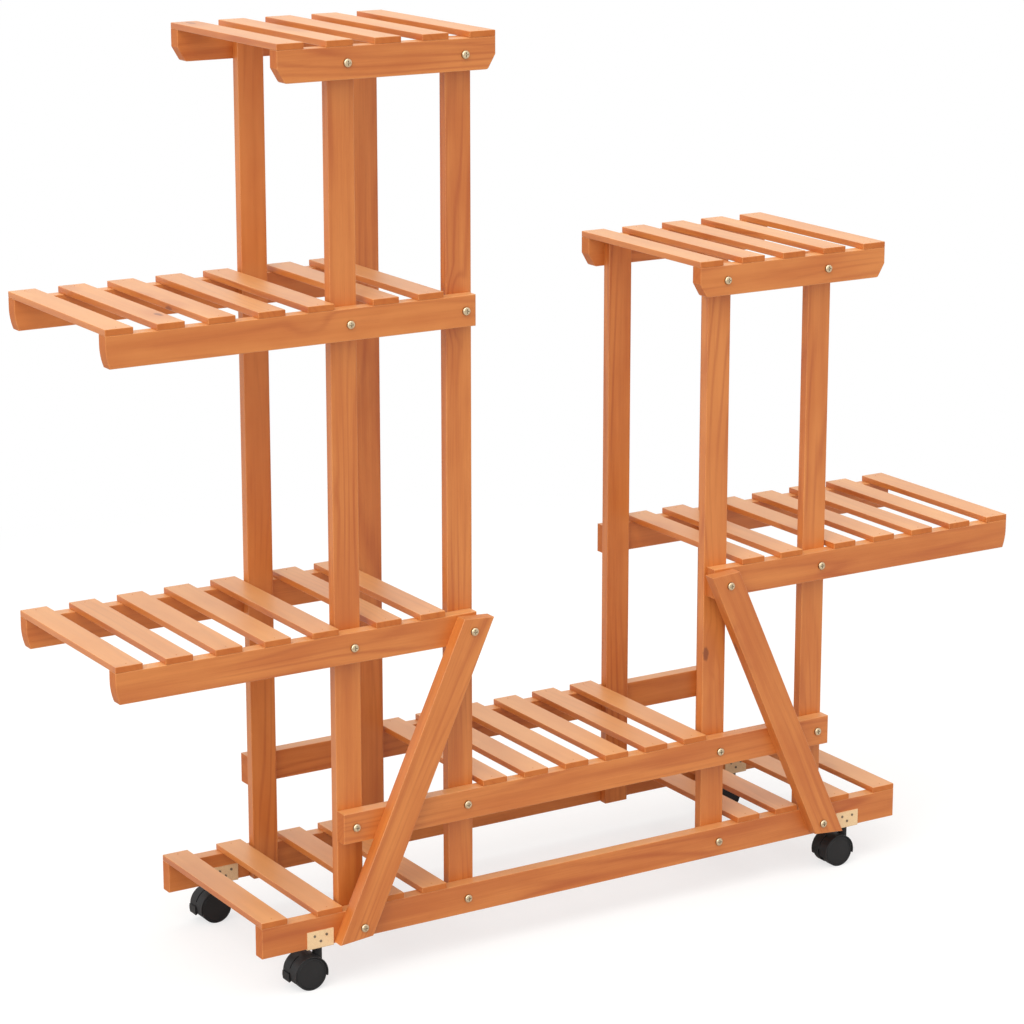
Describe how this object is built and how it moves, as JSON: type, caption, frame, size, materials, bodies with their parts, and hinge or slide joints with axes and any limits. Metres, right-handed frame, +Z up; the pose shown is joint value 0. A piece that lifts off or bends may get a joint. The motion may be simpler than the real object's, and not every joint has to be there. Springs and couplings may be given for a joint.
{
  "type": "flower cart stand",
  "caption": "Slatted wooden plant stand with staggered shelves on a tall and a short tower, slanting front braces and small swivelling casters, some with a brake.",
  "frame": {"origin": "on the floor, under the middle of the box that holds the whole stand", "axes": "+Z up, +X along the stand from its taller to its shorter tower, -Y its front"},
  "size_m": [1.2066, 0.2752, 1.049],
  "materials": {
    "stained_wood": "orange-brown stain, satin",
    "screw": "pale zinc",
    "brad": "bright",
    "bracket": "light tan, satin",
    "kingpin": "bright",
    "nail": "dull",
    "hood": "satin black",
    "axle": "bright",
    "wheel": "satin black",
    "brake_lever": "satin black"
  },
  "bodies": {
    "frame": {"left_top_shelf_front_rail": "stained_wood", "left_top_shelf_rear_rail": "stained_wood", "left_top_shelf_slats": "stained_wood", "left_upper_shelf_front_rail": "stained_wood", "left_upper_shelf_rear_rail": "stained_wood", "left_upper_shelf_slats": "stained_wood", "left_lower_shelf_front_rail": "stained_wood", "left_lower_shelf_rear_rail": "stained_wood", "left_lower_shelf_slats": "stained_wood", "right_top_shelf_front_rail": "stained_wood", "right_top_shelf_rear_rail": "stained_wood", "right_top_shelf_slats": "stained_wood", "right_lower_shelf_front_rail": "stained_wood", "right_lower_shelf_rear_rail": "stained_wood", "right_lower_shelf_slats": "stained_wood", "middle_shelf_front_rail": "stained_wood", "middle_shelf_rear_rail": "stained_wood", "middle_shelf_slats": "stained_wood", "base_front_rail": "stained_wood", "base_rear_rail": "stained_wood", "base_left_slats": "stained_wood", "base_right_slats": "stained_wood", "left_inner_front_post": "stained_wood", "left_inner_rear_post": "stained_wood", "left_outer_front_post": "stained_wood", "left_outer_rear_post": "stained_wood", "right_inner_front_post": "stained_wood", "right_inner_rear_post": "stained_wood", "right_outer_front_post": "stained_wood", "right_outer_rear_post": "stained_wood", "left_brace": "stained_wood", "right_brace": "stained_wood", "front_rail_screws": "screw", "rear_rail_screws": "screw", "brace_screws": "screw", "slat_brads": "brad", "front_left_bracket": "bracket", "front_right_bracket": "bracket", "rear_left_bracket": "bracket", "rear_right_bracket": "bracket", "kingpins": "kingpin", "bracket_nails": "nail"},
    "front_left_caster": {"front_left_hood": "hood", "front_left_axle": "axle"},
    "front_left_front_wheel": {"front_left_front_wheel": "wheel"},
    "front_left_back_wheel": {"front_left_back_wheel": "wheel"},
    "front_left_brake_lever": {"front_left_brake_lever": "brake_lever"},
    "front_right_caster": {"front_right_hood": "hood", "front_right_axle": "axle"},
    "front_right_front_wheel": {"front_right_front_wheel": "wheel"},
    "front_right_back_wheel": {"front_right_back_wheel": "wheel"},
    "rear_left_caster": {"rear_left_hood": "hood", "rear_left_axle": "axle"},
    "rear_left_front_wheel": {"rear_left_front_wheel": "wheel"},
    "rear_left_back_wheel": {"rear_left_back_wheel": "wheel"},
    "rear_left_brake_lever": {"rear_left_brake_lever": "brake_lever"},
    "rear_right_caster": {"rear_right_hood": "hood", "rear_right_axle": "axle"},
    "rear_right_front_wheel": {"rear_right_front_wheel": "wheel"},
    "rear_right_back_wheel": {"rear_right_back_wheel": "wheel"}
  },
  "joints": [
    {"name": "front_left_swivel", "type": "hinge", "parent": "frame", "child": "front_left_caster", "pos_m": [-0.36581, -0.11105, 0.04], "axis": [0, 0, 1], "continuous": true},
    {"name": "front_left_front_wheel_spin", "type": "hinge", "parent": "front_left_caster", "child": "front_left_front_wheel", "pos_m": [-0.38021, -0.11105, 0.0188], "axis": [0, 1, 0], "continuous": true},
    {"name": "front_left_back_wheel_spin", "type": "hinge", "parent": "front_left_caster", "child": "front_left_back_wheel", "pos_m": [-0.38021, -0.11105, 0.0188], "axis": [0, 1, 0], "continuous": true},
    {"name": "front_left_brake", "type": "hinge", "parent": "front_left_caster", "child": "front_left_brake_lever", "pos_m": [-0.38021, -0.11105, 0.0188], "axis": [0, 1, 0], "range_deg": [0, 14]},
    {"name": "front_right_swivel", "type": "hinge", "parent": "frame", "child": "front_right_caster", "pos_m": [0.36581, -0.11105, 0.04], "axis": [0, 0, 1], "continuous": true},
    {"name": "front_right_front_wheel_spin", "type": "hinge", "parent": "front_right_caster", "child": "front_right_front_wheel", "pos_m": [0.35141, -0.11105, 0.0188], "axis": [0, 1, 0], "continuous": true},
    {"name": "front_right_back_wheel_spin", "type": "hinge", "parent": "front_right_caster", "child": "front_right_back_wheel", "pos_m": [0.35141, -0.11105, 0.0188], "axis": [0, 1, 0], "continuous": true},
    {"name": "rear_left_swivel", "type": "hinge", "parent": "frame", "child": "rear_left_caster", "pos_m": [-0.36581, 0.12295, 0.04], "axis": [0, 0, 1], "continuous": true},
    {"name": "rear_left_front_wheel_spin", "type": "hinge", "parent": "rear_left_caster", "child": "rear_left_front_wheel", "pos_m": [-0.38021, 0.12295, 0.0188], "axis": [0, 1, 0], "continuous": true},
    {"name": "rear_left_back_wheel_spin", "type": "hinge", "parent": "rear_left_caster", "child": "rear_left_back_wheel", "pos_m": [-0.38021, 0.12295, 0.0188], "axis": [0, 1, 0], "continuous": true},
    {"name": "rear_left_brake", "type": "hinge", "parent": "rear_left_caster", "child": "rear_left_brake_lever", "pos_m": [-0.38021, 0.12295, 0.0188], "axis": [0, 1, 0], "range_deg": [0, 14]},
    {"name": "rear_right_swivel", "type": "hinge", "parent": "frame", "child": "rear_right_caster", "pos_m": [0.36581, 0.12295, 0.04], "axis": [0, 0, 1], "continuous": true},
    {"name": "rear_right_front_wheel_spin", "type": "hinge", "parent": "rear_right_caster", "child": "rear_right_front_wheel", "pos_m": [0.35141, 0.12295, 0.0188], "axis": [0, 1, 0], "continuous": true},
    {"name": "rear_right_back_wheel_spin", "type": "hinge", "parent": "rear_right_caster", "child": "rear_right_back_wheel", "pos_m": [0.35141, 0.12295, 0.0188], "axis": [0, 1, 0], "continuous": true}
  ]
}
